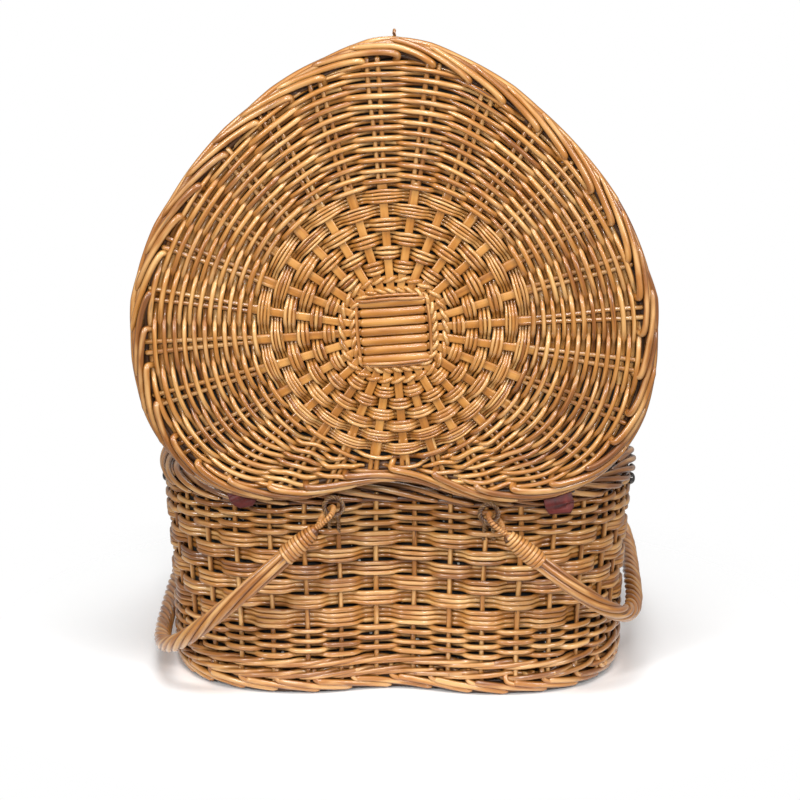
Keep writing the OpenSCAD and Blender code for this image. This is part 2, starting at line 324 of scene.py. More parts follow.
def tapered(radius, count, butt=1.06, tip=0.9):
    """A rod's radius along its length, from its thick end to its thin one."""
    return radius * np.linspace(butt, tip, count)


def smooth(x):
    x = np.clip(x, 0, 1)
    return x * x * (3 - 2 * x)


def spline(points, count):
    """A smooth line through a few points, at count even steps of the parameter."""
    p = np.asarray(points, float)
    p = np.r_[[2 * p[0] - p[1]], p, [2 * p[-1] - p[-2]]]
    t = np.linspace(0, len(p) - 3 - 1e-9, count)
    i = t.astype(int)
    f = (t - i)[:, None]
    a, b, c, d = p[i], p[i + 1], p[i + 2], p[i + 3]
    return 0.5 * (
        2 * b + (c - a) * f + (2 * a - 5 * b + 4 * c - d) * f**2 + (3 * b - a - 3 * c + d) * f**3
    )


def pieces_round(count, odd, shortest, longest):
    """Splits a round of count sticks into rods whose ends lie behind a stick."""
    start = odd + 2 * int(rng.integers(0, count // 2))
    left, spans = count, []
    while left > 0:
        size = 2 * int(rng.integers(shortest // 2, longest // 2 + 1))
        size = left if left - size < shortest else size
        spans.append((start, start + size))
        start += size
        left -= size
    return spans


STEPS = 8
OVERRUN = 0.42
SQUARENESS = 2.1
CUT_END = 0.6
NO_ROOM = 0.06


def woven(weave, place, count, parity, radius, swing, rods, thin=None, tones=(0, 1)):
    """One round of a single rod, in front of one stick and behind the next.
    place(u, height) gives points and outward directions, where u counts sticks.
    thin(u) says how much room the row has: the rod thins, then stops, where it has less."""
    for a, b in pieces_round(count, 1 - parity % 2, *rods):
        u = np.linspace(a - OVERRUN, b + OVERRUN, (b - a + 1) * STEPS)
        wave = np.cos(PI * (u + parity))
        height = swing * np.tanh(SQUARENESS * wave) / np.tanh(SQUARENESS)
        size = tapered(radius, len(u), butt=1.08) * draw(0.93, 1.07)
        size = size * (1 + wander(len(u), 0.035, b - a))
        tone = draw(*tones)
        if thin is None:
            size[[0, -1]] *= CUT_END
            pts, up = place(u, height)
            weave.strand(pts, size, up, tone=tone)
            continue
        keep = thin(u)
        edges = np.flatnonzero(np.diff(np.r_[0, (keep > NO_ROOM).astype(int), 0]))
        for start, end in zip(edges[::2], edges[1::2]):
            if end - start < 2 * STEPS:
                continue
            part = slice(start, end)
            pts, up = place(u[part], height[part] * np.minimum(1, 0.4 + keep[part]))
            taper = np.minimum(1, 0.3 + 0.9 * np.sqrt(keep[part]))
            weave.strand(pts, size[part] * taper, up, tone=tone)


HOOK = np.array([(-0.02, 7.0, -8.5), (-0.06, 3.0, -4.5), (-0.055, 0.9, -1.2)])
ROLL_AT = np.array([0.05, 0.2, 0.4, 0.6, 0.8, 1.0])
ROLL_FLAT = 0.92


def rolled(weave, place, count, spread, across, lift, radius, hook=False, bend=1.0, steps=26, tones=(0, 1)):
    """A rolled border: each stake end runs along the border over spread of its neighbours,
    moving across it and down under the next ones. With hook it first comes up over the inner
    edge. place(share, across, height) gives points."""
    line = np.c_[
        ROLL_AT * spread,
        across[0] + (across[1] - across[0]) * ROLL_AT**bend,
        lift[0] + (lift[1] - lift[0]) * ROLL_AT**1.2,
    ]
    if hook:
        line = np.r_[HOOK + [0, across[0], lift[0]], line]
    line = spline(line, steps)
    for i in range(count):
        share = (i + draw(-0.08, 0.08) + line[:, 0]) / count
        pts, up = place(share, line[:, 1] + wander(steps, 0.25, 5), line[:, 2])
        size = tapered(radius, steps, tip=0.88) * draw(0.94, 1.08)
        size[-1] *= CUT_END
        weave.strand(pts, size, up, ROLL_FLAT, draw(*tones))


FOLLOW_RODS = 5
FOLLOW_STEPS = 140
FOLLOW_LAP = 0.004


def follow(weave, place, across, lift, radius):
    """Long rods that run round a border beside each other, a few to a round."""
    for a, h in zip(across, lift):
        start = draw(0, 1)
        for rod in range(FOLLOW_RODS):
            low = start + rod / FOLLOW_RODS - FOLLOW_LAP
            high = start + (rod + 1) / FOLLOW_RODS + FOLLOW_LAP
            u = np.linspace(low, high, FOLLOW_STEPS)
            drift = wander(FOLLOW_STEPS, 0.5, 12), wander(FOLLOW_STEPS, 0.35, 12)
            pts, up = place(u, a + drift[0], h + drift[1])
            weave.strand(pts, tapered(radius, FOLLOW_STEPS), up, tone=draw(0, 1))


# ---- Materials ----
TONE_SHIFT = 61.0


class Shader:
    """A material's nodes, with short calls to make and join them."""

    def __init__(self, name):
        self.material = bpy.data.materials.new(name)
        self.material.use_nodes = True
        self.tree = self.material.node_tree
        self.surface = self.tree.nodes["Principled BSDF"]

    def node(self, kind, inputs=(), **settings):
        made = self.tree.nodes.new("ShaderNode" + kind)
        for key, value in settings.items():
            setattr(made, key, value)
        for key, value in dict(inputs).items():
            self.put(made.inputs[key], value)
        return made

    def put(self, socket, value):
        if isinstance(value, bpy.types.NodeSocket):
            self.tree.links.new(value, socket)
        else:
            socket.default_value = value

    def set(self, **inputs):
        for key, value in inputs.items():
            self.put(self.surface.inputs[key.replace("_", " ")], value)

    def math(self, operation, a, b=0.0, c=0.0, clamp=False):
        return self.node("Math", {0: a, 1: b, 2: c}, operation=operation, use_clamp=clamp).outputs[0]

    def mix(self, share, a, b):
        return self.node("Mix", {0: share, 6: a, 7: b}, data_type="RGBA").outputs[2]

    def noise(self, vector, scale, detail, rough=0.5):
        inputs = {"Vector": vector, "Scale": scale, "Detail": detail, "Roughness": rough}
        return self.node("TexNoise", inputs).outputs[0]

    def split(self, vector):
        return self.node("SeparateXYZ", {0: vector}).outputs

    def carried(self, name):
        """What the mesh carries under this name at each point."""
        return self.node("Attribute", attribute_name=name).outputs["Vector"]

    def span(self, value, low, high, to_low=0.0, to_high=1.0):
        inputs = {0: value, 1: low, 2: high, 3: to_low, 4: to_high}
        return self.node("MapRange", inputs).outputs[0]

    def ramp(self, value, stops):
        made = self.node("ValToRGB", {0: value})
        elements = made.color_ramp.elements
        while len(elements) < len(stops):
            elements.new(0.5)
        for element, (place, colour) in zip(elements, stops):
            element.position = place
            element.color = rgb(*colour)
        return made.outputs[0]

    def bump(self, height, distance, strength):
        inputs = {"Height": height, "Distance": distance, "Strength": strength}
        return self.node("Bump", inputs).outputs[0]

    def swayed(self, value, noise, share):
        """A value moved up and down by a share of a noise."""
        return self.math("MULTIPLY_ADD", self.math("SUBTRACT", noise, 0.5), share, value)


class RodShader(Shader):
    """A material for strands, which carry running length, their own tone and the way round."""

    def __init__(self, name):
        super().__init__(name)
        self.along, self.tone = self.split(self.carried("rod"))[:2]
        self.side, self.top = self.split(self.carried("ring"))[:2]

    def place(self, stretch, wrap):
        """Texture coordinates: stretch per metre along the strand, wrap round it."""
        x = self.math("MULTIPLY", self.along, stretch)
        shift = self.math("MULTIPLY", self.tone, TONE_SHIFT)
        y = self.math("MULTIPLY_ADD", self.side, wrap, shift)
        z = self.math("MULTIPLY", self.top, wrap)
        return self.node("CombineXYZ", {0: x, 1: y, 2: z}).outputs[0]

    def marks(self, stretch, wrap, detail, rough=0.5):
        return self.noise(self.place(stretch, wrap), 1.0, detail, rough)


def rgb(r, g, b):
    """A display colour from 0 to 255, as the linear colour that shaders use."""
    linear = [(v / 255 / 12.92) if v <= 10 else ((v / 255 + 0.055) / 1.055) ** 2.4 for v in (r, g, b)]
    return (*linear, 1.0)


KNOT_BROWN = (84, 44, 18)
FLECK_BROWN = (96, 56, 26)
# The colour of the painted shade on the sides and undersides of rods.
PAINTED_SHADE_BROWN = (58, 26, 7)


def willow(name, deep, dark, mid, light, painted_highlight=(226, 182, 122), knots=1.0, rough=0.36, coat=0.8):
    """Buff willow: each rod has its own tone, long streaks, fine grain, knots and brown flecks.
    Its outer top has a painted highlight in pale patches, and its sides and underside have painted shade,
    dark where rods lie against each other."""
    s = RodShader(name)
    streak = s.marks(9, 0.75, 3.0, 0.6)
    grain = s.marks(70, 5.0, 4.0, 0.65)
    patch = s.marks(26, 0.35, 2.0)
    own = s.math("MULTIPLY_ADD", s.tone, 0.34, -0.17)
    value = s.math("ADD", s.swayed(0.52, streak, 0.95), own)
    value = s.swayed(s.swayed(value, patch, 0.7), grain, 0.35)
    colour = s.ramp(value, [(0.0, deep), (0.28, dark), (0.58, mid), (0.95, light)])
    knot = s.math("MULTIPLY", s.span(s.marks(38, 0.9, 1.0, 0.4), 0.70, 0.79), knots, clamp=True)
    fleck = s.math("MULTIPLY", s.span(s.marks(300, 7.0, 2.0), 0.66, 0.74), 0.55 * knots, clamp=True)
    colour = s.mix(knot, colour, rgb(*KNOT_BROWN))
    colour = s.mix(fleck, colour, rgb(*FLECK_BROWN))
    # Painted highlight: the outer top of each rod is mixed in patches towards a pale colour.
    paleness = s.math("MULTIPLY", s.span(s.top, 0.45, 0.98), s.span(patch, 0.46, 0.64), clamp=True)
    colour = s.mix(s.math("MULTIPLY", paleness, 0.55), colour, rgb(*painted_highlight))
    # Painted shade: the sides and underside of each rod are mixed towards a deep brown.
    colour = s.mix(s.span(s.top, -0.5, 0.78, 0.86, 0.0), colour, rgb(*PAINTED_SHADE_BROWN))
    height = s.math("MULTIPLY_ADD", grain, 0.5, s.math("MULTIPLY", streak, 0.8))
    height = s.math("MULTIPLY_ADD", knot, 0.5, height)
    rough = s.math("MULTIPLY_ADD", grain, 0.22, rough - 0.08)
    s.set(Base_Color=colour, Roughness=rough, Normal=s.bump(height, 0.0006, 0.55))
    s.set(Coat_Weight=coat, Coat_Roughness=0.17, Specular_IOR_Level=0.5)
    return s.material


def leather(name, dark, mid, light):
    """Dyed leather: fine pebbled grain, creases across it and paler wear."""
    s = RodShader(name)
    cells = s.node("TexVoronoi", {"Vector": s.place(700, 8.0), "Scale": 1.0}).outputs["Distance"]
    creases = s.marks(160, 0.8, 4.0, 0.6)
    paleness = s.marks(45, 1.6, 3.0, 0.6)
    colour = s.ramp(paleness, [(0.25, dark), (0.55, mid), (0.85, light)])
    height = s.math("MULTIPLY_ADD", cells, 0.5, creases)
    rough = s.span(paleness, 0.3, 0.8, 0.42, 0.66)
    s.set(Base_Color=colour, Roughness=rough, Normal=s.bump(height, 0.0004, 0.6))
    s.set(Specular_IOR_Level=0.4, Sheen_Weight=0.06)
    return s.material


THREAD_PITCH = 0.0012


def cloth(name, ground, thread, spots, share):
    """Plain-woven cloth with small pale specks. Its coordinates are in metres."""
    s = Shader(name)
    place = s.carried("cloth")
    x, y = s.split(place)[:2]
    warp, weft = (s.math("SINE", s.math("MULTIPLY", way, TAU / THREAD_PITCH)) for way in (x, y))
    weave = s.math("MULTIPLY", warp, weft)
    soft = s.noise(place, 60.0, 3.0, 0.6)
    cells = s.node("TexVoronoi", {"Vector": place, "Scale": 150.0, "Randomness": 0.75}).outputs
    speck = s.math("LESS_THAN", cells["Distance"], 0.2)
    pick = s.math("GREATER_THAN", s.node("SeparateColor", {0: cells["Color"]}).outputs[0], 1 - share)
    speck = s.math("MULTIPLY", speck, pick)
    base = s.mix(s.math("MULTIPLY_ADD", weave, 0.25, 0.4), rgb(*ground), rgb(*thread))
    colour = s.mix(speck, base, rgb(*spots))
    height = s.math("MULTIPLY_ADD", weave, 0.5, soft)
    s.set(Base_Color=colour, Roughness=s.span(soft, 0.3, 0.7, 0.82, 0.95))
    s.set(Normal=s.bump(height, 0.0003, 0.6), Sheen_Weight=0.15, Sheen_Roughness=0.5)
    return s.material


def metal(name, tint):
    """Plated metal with faint scratches and slightly uneven polish."""
    s = RodShader(name)
    marks = s.marks(900, 2.0, 4.0, 0.7)
    smear = s.marks(120, 1.2, 2.0)
    colour = s.mix(s.span(smear, 0.35, 0.75), rgb(*tint), rgb(84, 82, 80))
    rough = s.span(smear, 0.3, 0.75, 0.12, 0.3)
    s.set(Base_Color=colour, Metallic=1.0, Roughness=rough, Normal=s.bump(marks, 0.0001, 0.3))
    return s.material


FADE_FROM = 0.22
FADE_TO = 0.42


def floor_material():
    """White studio floor with a faint gloss, which fades into the white round it."""
    s = Shader("studio_floor")
    place = s.node("TexCoord").outputs["Object"]
    cloud = s.noise(place, 3.0, 3.0, 0.5)
    s.set(Base_Color=s.mix(s.span(cloud, 0.3, 0.7), rgb(250, 250, 250), rgb(254, 254, 254)))
    away = s.node("VectorMath", {0: place}, operation="LENGTH").outputs["Value"]
    s.set(Roughness=0.16, Specular_IOR_Level=0.4, Alpha=s.span(away, FADE_FROM, FADE_TO, 1.0, 0.0))
    return s.material


LID_WILLOW = willow("willow_lid", (96, 50, 14), (146, 88, 32), (182, 120, 50), (208, 160, 92))
BODY_WILLOW = willow("willow_body", (90, 46, 14), (138, 84, 32), (176, 116, 50), (204, 158, 94))
BORDER_WILLOW = willow("willow_border", (88, 46, 14), (138, 82, 30), (174, 112, 44), (198, 146, 78))
PALE_WILLOW = willow(
    "willow_split", (104, 58, 16), (150, 92, 30), (174, 112, 40), (194, 136, 62),
    painted_highlight=(208, 152, 82), knots=0.5, rough=0.4, coat=0.5,
)
# Painted shade: a dark copy of the willow for rods deep in the borders, standing for the shade between the
# rolled rods.
SHADED_WILLOW = willow(
    "willow_shaded", (24, 12, 5), (46, 26, 11), (72, 42, 19), (100, 64, 32),
    painted_highlight=(96, 62, 32), rough=0.5, coat=0.1,
)
RING_CANE = willow(
    "ring_cane", (38, 22, 10), (84, 54, 26), (124, 86, 46), (160, 124, 78),
    painted_highlight=(150, 116, 72), knots=0.3, rough=0.4, coat=0.4,
)
CANE = willow(
    "cane_skin", (84, 46, 18), (142, 86, 36), (176, 114, 52), (204, 150, 86),
    knots=0.4, rough=0.32, coat=0.45,
)
LEATHER = leather("burgundy_leather", (54, 14, 12), (96, 30, 26), (134, 62, 52))
WALL_CLOTH = cloth("wall_lining_cloth", (7, 7, 8), (18, 18, 19), (214, 212, 206), 0.5)
LID_CLOTH = cloth("lid_lining_cloth", (20, 19, 16), (40, 38, 33), (150, 148, 138), 0.25)
STEEL = metal("plated_steel", (112, 110, 108))


# ---- Mats: the lid and the floor, woven out from a square of flat sticks ----
STICKS = 28
PER_SIDE = STICKS // 4
HALF_SIDE = PER_SIDE // 2
SLATH_HALF = 27
SLATH_TURN = math.radians(4.5)
STICK_GAP = 2 * SLATH_HALF / PER_SIDE
FAN_R = 46
SLEW_IN = 48
SLEW_GROUPS = 6
SLEW_SWING = 3.4
PAIR_ROWS = ((35.3, 0.065, 1), (43.6, 0.03, -1))
PAIR_R = 1.85
PAIR_SWING = 2.7
PAIR_SWAY = 1.5
SPLIT_WIDTHS = (2.7, 3.3, 3.5)
DOUBLE_GAP = 2.25
DOUBLE_FAN = 2.1
RANDING_R = 2.12
RANDING_SWING = 4.0
RANDING_PITCH = 4.0
FIRST_STOP = 2
STOP_SPAN = 5.5
TIP_STOP = 1.2
FADE = 3.6
BASE_UP = np.array([0.0, 0, 1])
BASE_Z = FOOT_TOP + 5


def turned(xy, angle):
    c, s = math.cos(angle), math.sin(angle)
    xy = np.asarray(xy, float)
    return np.stack([xy[..., 0] * c - xy[..., 1] * s, xy[..., 0] * s + xy[..., 1] * c], -1)


class Mat:
    """A woven heart. place puts its plan and heights into the row frame."""

    def __init__(self, name, body, material, place, up, edge, slew_out, slew_swell):
        self.name, self.body, self.material = name, body, material
        self.place, self.up, self.edge = place, up, edge
        self.slew_out, self.slew_swell = slew_out, slew_swell

    def at(self, radius, angle, height):
        return self.place(polar(radius, angle), height), self.up

    def angle(self, u):
        return SLATH_TURN + np.asarray(u) * TAU / STICKS

    def slew_edge(self, angle):
        """Where the slewing ends: a little further out towards the tip."""
        return self.slew_out + self.slew_swell * np.sin(angle)

    def rim(self, angle):
        return self.edge * outline_radius(angle)

    def stick_line(self, index, far):
        """The middle of a stick: square to the slath at first, then fanned out."""
        side, place = divmod(index + HALF_SIDE, PER_SIDE)
        start = np.array([[SLATH_HALF - 3.0, 0], [SLATH_HALF + 4, 0]])
        start[:, 1] += (place - HALF_SIDE) * STICK_GAP
        start = turned(start, SLATH_TURN + side * PI / 2)
        angle = self.angle(index)
        out = polar(np.array([FAN_R, FAN_R + 12]), angle)
        bend = spline(np.r_[start, out], 10)
        straight = polar(np.linspace(FAN_R + 14, far, 16), angle)
        return np.r_[bend, straight]


def base_place(xy, height):
    return xyz(xy[..., 0], xy[..., 1] + BASE_Y, BASE_Z + height)


LID_MAT = Mat("lid", "lid", LID_WILLOW, lid_place, LID_UP, edge=0.932, slew_out=111, slew_swell=6.5)
BASE_MAT = Mat("base", "basket", BODY_WILLOW, base_place, BASE_UP, edge=0.85, slew_out=96, slew_swell=5)


def slath(mat):
    """The square in the middle: flat sticks side by side, each rounded off at its ends."""
    weave = Weave(12)
    for i in range(PER_SIDE):
        y = (i - HALF_SIDE) * STICK_GAP + draw(-0.25, 0.25)
        half = SLATH_HALF + draw(-0.6, 0.8)
        x = np.linspace(-half + 3, half - 3, 14)
        xy = turned(np.stack([x, y + wander(14, 0.12, 4)], -1), SLATH_TURN)
        pts = mat.place(xy, 1.6 + 0.9 * (1 - (x / half) ** 2) + wander(14, 0.12, 4))
        weave.strand(pts, STICK_GAP / 2 - 0.12, mat.up, 0.62, draw(0.35, 0.75))
    weave.build(f"{mat.name}_slath_sticks", PALE_WILLOW, f"{mat.name}_slath", "willow_pale", body=mat.body)


def sticks(mat):
    """Single split sticks near the middle, each doubled by two round ones further out."""
    split, rounds = Weave(12), Weave()
    for index in range(-HALF_SIDE, STICKS - HALF_SIDE):
        angle = mat.angle(index)
        inner, rim = mat.slew_edge(angle), float(mat.rim(angle))
        line = mat.stick_line(index, inner + 4)
        size = np.interp(np.arange(len(line)), [0, 6, len(line)], SPLIT_WIDTHS)
        split.strand(mat.place(line, 0.2), size, mat.up, 0.5, draw(0.45, 1), boxy=True)
        aside = polar(1.0, angle + PI / 2)
        for way in (-1, 1):
            r = np.linspace(inner - 12, rim + 1, 18)
            spread = way * (DOUBLE_GAP + DOUBLE_FAN * smooth((r - inner) / 95)) + wander(18, 0.15, 5)
            xy = polar(r, angle) + spread[:, None] * aside
            radius = np.linspace(2.0, 2.25, 18) * draw(0.93, 1.06)
            rounds.strand(mat.place(xy, wander(18, 0.1, 4)), radius, mat.up, 1.0, draw(0.2, 0.95))
    split.build(f"{mat.name}_split_sticks", PALE_WILLOW, f"{mat.name}_sticks", "willow_pale", body=mat.body)
    rounds.build(f"{mat.name}_double_sticks", mat.material, f"{mat.name}_sticks", body=mat.body)


def rounded_square(angle, radius, square):
    """A circle pushed out towards the corners of the slath."""
    return radius * (1 - square * np.cos(4 * (angle - SLATH_TURN)))


def pairing(mat, node):
    """Two rows of thin rods twisted in pairs round the slath, to open the sticks out.
    A row has its radius, how square it still is, and the way it twists."""
    weave = Weave()
    for radius, square, turn in PAIR_ROWS:
        for strand in (0, 1):
            u = np.linspace(strand, strand + STICKS, STICKS * 9 + 1)
            phase = PI * (u + strand)
            around = rounded_square(mat.angle(u), radius, square) + turn * PAIR_SWAY * np.sin(phase)
            pts, up = mat.at(around, mat.angle(u), PAIR_SWING * np.cos(phase))
            weave.strand(pts, PAIR_R, up, tone=draw(0.3, 0.9))
    weave.build(f"{mat.name}_pairing_rods", mat.material, node, body=mat.body)


def binders():
    """Thin rods that bind the lid's slath on its four sides, tucked under at each corner.
    Two of the sides have a second rod on top."""
    weave = Weave()
    half = SLATH_HALF + 1
    x = np.linspace(-half, half, 16)
    tuck = 3.5 * (x / half) ** 8
    for side in range(4):
        for far, lift in ((SLATH_HALF + 2.2, 2.2), (SLATH_HALF - 0.6, 4.9))[: 2 - side % 2]:
            xy = turned(np.stack([x, far + 0.4 * np.cos(x / 9)], -1), SLATH_TURN + side * PI / 2)
            weave.strand(lid_place(xy, lift - tuck), 1.5, LID_UP, tone=draw(0.2, 0.7))
    weave.build("lid_binder_rods", CANE, "lid_binders", "cane", body="lid")


def slewing(mat, node):
    """Rounds of three or four rods woven as one, which fan out over each stick."""
    weave = Weave()
    for group in range(SLEW_GROUPS):
        rods = 3 if group < 4 else 4
        thick = 0.5 * (mat.slew_out - SLEW_IN) / SLEW_GROUPS / rods
        for rod in range(rods):
            def place(u, height):
                angle = mat.angle(u)
                over = np.abs(np.cos(PI * (u + group)))
                share = 0.5 + (rod - (rods - 1) / 2) / rods * (0.88 + 0.16 * over)
                low = rounded_square(angle, SLEW_IN, 0.012)
                radius = low + (mat.slew_edge(angle) - low) * (group + share) / SLEW_GROUPS
                return mat.at(radius + wander(len(u), 0.14, len(u) // 6), angle, height)
            woven(weave, place, STICKS, group, 0.98 * thick, SLEW_SWING, rods=(10, 18), tones=(0.15, 1))
    weave.build(f"{mat.name}_slewing_rods", mat.material, node, body=mat.body)


class Rows:
    """Rows of rods between two curves. Rows stop in pairs where the notch leaves less room,
    and a few short pairs fill the tip along the border. The pairs that stop are spread over
    the width: their order comes from their numbers' bits read backwards."""

    def __init__(self, mat, full, short):
        self.angle = np.linspace(-PI, PI, 1441)
        low, high = mat.slew_edge(self.angle), mat.rim(self.angle)
        room = (high - low) / RANDING_PITCH
        pairs = full // 2
        halving = [sum(((i >> b) & 1) / 2 ** (b + 1) for b in range(5)) for i in range(pairs)]
        first = FIRST_STOP + (full - STOP_SPAN) / pairs * np.argsort(halving)
        first = np.r_[first, full + TIP_STOP + 2 * np.arange(short // 2)]
        self.count = full + short
        self.keep = np.array([smooth((room - first[j // 2]) / FADE) for j in range(self.count)])
        self.keep += 1e-4
        filled = np.cumsum(self.keep, 0) - self.keep / 2
        self.radius = low + (high - low) * filled / self.keep.sum(0)

    def at(self, j, angle):
        """A row's radius, and how much room it has, in each direction."""
        a = np.mod(angle + PI, TAU) - PI
        return np.interp(a, self.angle, self.radius[j]), np.interp(a, self.angle, self.keep[j])


def randing(mat, node, full, short):
    """Rows of single rods from the slewing out to the border."""
    weave = Weave()
    rows = Rows(mat, full, short)
    for j in range(rows.count):
        def place(u, height):
            angle = mat.angle(u)
            return mat.at(rows.at(j, angle)[0] + wander(len(u), 0.22, len(u) // 7), angle, height)
        def thin(u):
            return rows.at(j, mat.angle(u))[1]
        woven(weave, place, STICKS, j, RANDING_R, RANDING_SWING, rods=(8, 14), thin=thin)
    weave.build(f"{mat.name}_randing_rods", mat.material, node, body=mat.body)


# ---- Wall of the basket ----
STAKES = 40
SWING = 3.8


def wall_row(z, pinch=0.0, swell=0.0, parity=0):
    """Placing for one rod round the wall. pinch and swell shift it between and over stakes."""
    def place(u, height):
        over = np.abs(np.cos(PI * (u + parity)))
        level = z + pinch * (1 - over) + swell * over + wander(len(u), 0.2, len(u) // 6)
        return wall((u + 0.5) / STAKES, level, height)
    return place


def side_stakes():
    """The upright stakes that the wall is woven round."""
    weave = Weave()
    for i in range(STAKES):
        z = np.linspace(FOOT_TOP - 6, BORDER_Z + 8, 26)
        lean = wander(26, 0.012, 5)
        pts, up = wall((i + 0.5 + lean) / STAKES, z, wander(26, 0.15, 5))
        weave.strand(pts, draw(2.1, 2.45), up, tone=draw(0.1, 0.9))
    weave.build("side_stake_rods", BODY_WILLOW, "side_stakes")


WALE_PHASE = (0, 0.10, 0.22, 0.45, 0.57, 0.667, 0.76, 0.833, 0.92, 1)
WALE_DEPTH = (0.1, 0.75, 1, 1, 0.75, 0, -0.8, -1, -0.8, 0.1)
WALE_R = 2.35
WALE_LAP = 0.6
WALE_SHIFT = 0.08
WALE_SWING = 4.0
WALE_CLIMB = 2.6


def wale():
    """Two rounds of three rods, each in front of two stakes and behind one, that climb as
    they cross. Every rod is in two lengths."""
    weave = Weave()
    step = (WALE_TOP - FOOT_TOP) / 2
    half = STAKES // 2
    for row in range(2):
        middle = FOOT_TOP + (row + 0.5) * step
        for strand in range(3):
            first = strand + int(rng.integers(0, 9)) * 3
            for start in (first, first + half):
                u = np.linspace(start - WALE_LAP, start + half + WALE_LAP, (half + 1) * STEPS)
                phase = np.mod((u - strand) / 3 + WALE_SHIFT, 1)
                depth = WALE_SWING * np.interp(phase, WALE_PHASE, WALE_DEPTH)
                z = middle + WALE_CLIMB * np.interp(phase, (0, 0.667, 1), (-1, 1, -1))
                pts, up = wall((u + 0.5) / STAKES, z, depth)
                weave.strand(pts, tapered(WALE_R, len(u), 1.08, 0.92), up, tone=draw(0, 1))
    weave.build("bottom_wale_rods", BODY_WILLOW, "bottom_wale")


def wall_randing(name, low, high, rows):
    """Rows of single rods between two heights."""
    weave = Weave()
    pitch = (high - low) / rows
    for row in range(rows):
        place = wall_row(low + (row + 0.5) * pitch)
        woven(weave, place, STAKES, row, pitch / 2 + 0.16, SWING, (9, 15))
    weave.build(f"{name}_rods", BODY_WILLOW, name)


def wall_slewing():
    """The chequered band: six rounds of three rods woven as one."""
    weave = Weave()
    rounds, rods = 6, 3
    step = (SLEW_TOP - LOWER_TOP) / rounds
    for r in range(rounds):
        parity = 1 + r
        middle = SLEW_TOP - (r + 0.5) * step
        for rod in range(rods):
            offset = (rod - 1) * step / rods
            place = wall_row(middle, 0.9 * offset, offset, parity)
            woven(weave, place, STAKES, parity, step / rods / 2 + 0.04, SWING, (8, 15))
    weave.build("slew_band_rods", BODY_WILLOW, "slew_band")


# ---- Rolled borders ----
LID_RING = Ring(1.0, 0)
RIM_RING = Ring(0.955, RIM_Y)
FOOT_RING = Ring(0.895, BASE_Y)
RIM_R = 6.6
RIM_IN = 9.3
RIM_MID = (RIM_Z + BORDER_Z) / 2 + 0.2
RIM_START = math.radians(150)
LID_RODS = 38
FOOT_RODS = 36


def lid_edge(share, across, height):
    """Places on the lid's border: across runs in from its outer edge."""
    xy, out = LID_RING.at(share)
    return lid_place(xy - out * across[:, None], height), LID_UP


def lid_border():
    """The lid's border: rods rolled over its outer and its inner side, and a core of rods painted dark as
    shade.
    """
    weave = Weave(10)
    rolled(
        weave, lid_edge, LID_RODS, 2.05, across=(13.0, 2.8), lift=(6.0, -0.6), radius=2.8,
        hook=True, bend=0.85, tones=(0.1, 1),
    )
    follow(weave, lid_edge, across=(2.8, 5.0), lift=(-3.4, -1.6), radius=2.6)
    rolled(
        weave, lid_edge, LID_RODS, 2.3, across=(14.6, 4.4), lift=(-5.2, -5.4), radius=2.4,
        tones=(0.1, 0.8),
    )
    weave.build("lid_border_rods", BORDER_WILLOW, "lid_border", body="lid")
    # The core rods take the dark willow: painted shade in the gaps of the border.
    core = Weave()
    follow(core, lid_edge, across=(7.0, 9.4, 13.4, 16.0), lift=(-4.6, -3.2, -3.6, -4.4), radius=2.5)
    core.build("lid_border_shade_core", SHADED_WILLOW, "lid_border", body="lid")


def rim_section(share, across, height):
    """Places on the rim's rolled border: across runs over it, from its inner side outward."""
    xy, out = RIM_RING.at(share)
    angle = RIM_START - across / RIM_R
    reach = RIM_R + height
    xy = xy - out * (RIM_IN - reach * np.cos(angle))[:, None]
    up = out * np.cos(angle)[:, None]
    return np.c_[xy, RIM_MID + reach * np.sin(angle)], np.c_[up, np.sin(angle)]


def rim_border():
    """The rim's border: rods rolled over the top, a layer under them painted darker as shade, and long
    rods.
    """
    weave = Weave(10)
    over = RIM_R * math.radians(205)
    under = RIM_R * math.radians(240)
    rolled(weave, rim_section, STAKES, 3.1, across=(1.0, over), lift=(0.2, -0.2), radius=2.5, steps=34)
    # The under layer takes only the darker tones: painted shade beneath the top rods.
    rolled(
        weave, rim_section, STAKES, 3.1, across=(-8.0, over - 9), lift=(-2.6, -2.8), radius=2.4,
        tones=(0, 0.5),
    )
    follow(weave, rim_section, across=(under, under + 6, -6), lift=(-0.6, -2.5, -1.5), radius=2.4)
    weave.build("rim_border_rods", BORDER_WILLOW, "top_border")


def foot_edge(share, across, height):
    """Places on the foot's border: across runs down from under the wale."""
    xy, out = FOOT_RING.at(share)
    xy = xy + out * (height - 2.6)[:, None]
    return np.c_[xy, FOOT_TOP + 2.4 - across], np.c_[out, 0 * share]


def foot_border():
    """The border that the basket stands on, with the stakes that come down into it."""
    weave = Weave(10)
    rolled(
        weave, foot_edge, FOOT_RODS, 1.95, across=(2.4, 11.0), lift=(0.8, -2.4), radius=2.75,
        bend=0.9, steps=24,
    )
    stake = spline([(-0.10, -7.0, -4.0), (-0.10, -1.0, -0.6), (-0.05, 2.2, 0.4), (0.12, 4.4, 0.0)], 12)
    for i in range(FOOT_RODS):
        pts, up = foot_edge((i + stake[:, 0]) / FOOT_RODS, stake[:, 1], stake[:, 2])
        weave.strand(pts, 2.4, up, tone=draw(0, 0.8))
    weave.build("foot_border_rods", BORDER_WILLOW, "foot_border")
    # The core rods take the dark willow: painted shade in the gaps of the border.
    core = Weave()
    follow(core, foot_edge, across=(6.0, 10.6, 10.8, 4.5), lift=(-6.5, -5.4, -9.5, -9.5), radius=2.3)
    core.build("foot_border_shade_core", SHADED_WILLOW, "foot_border")


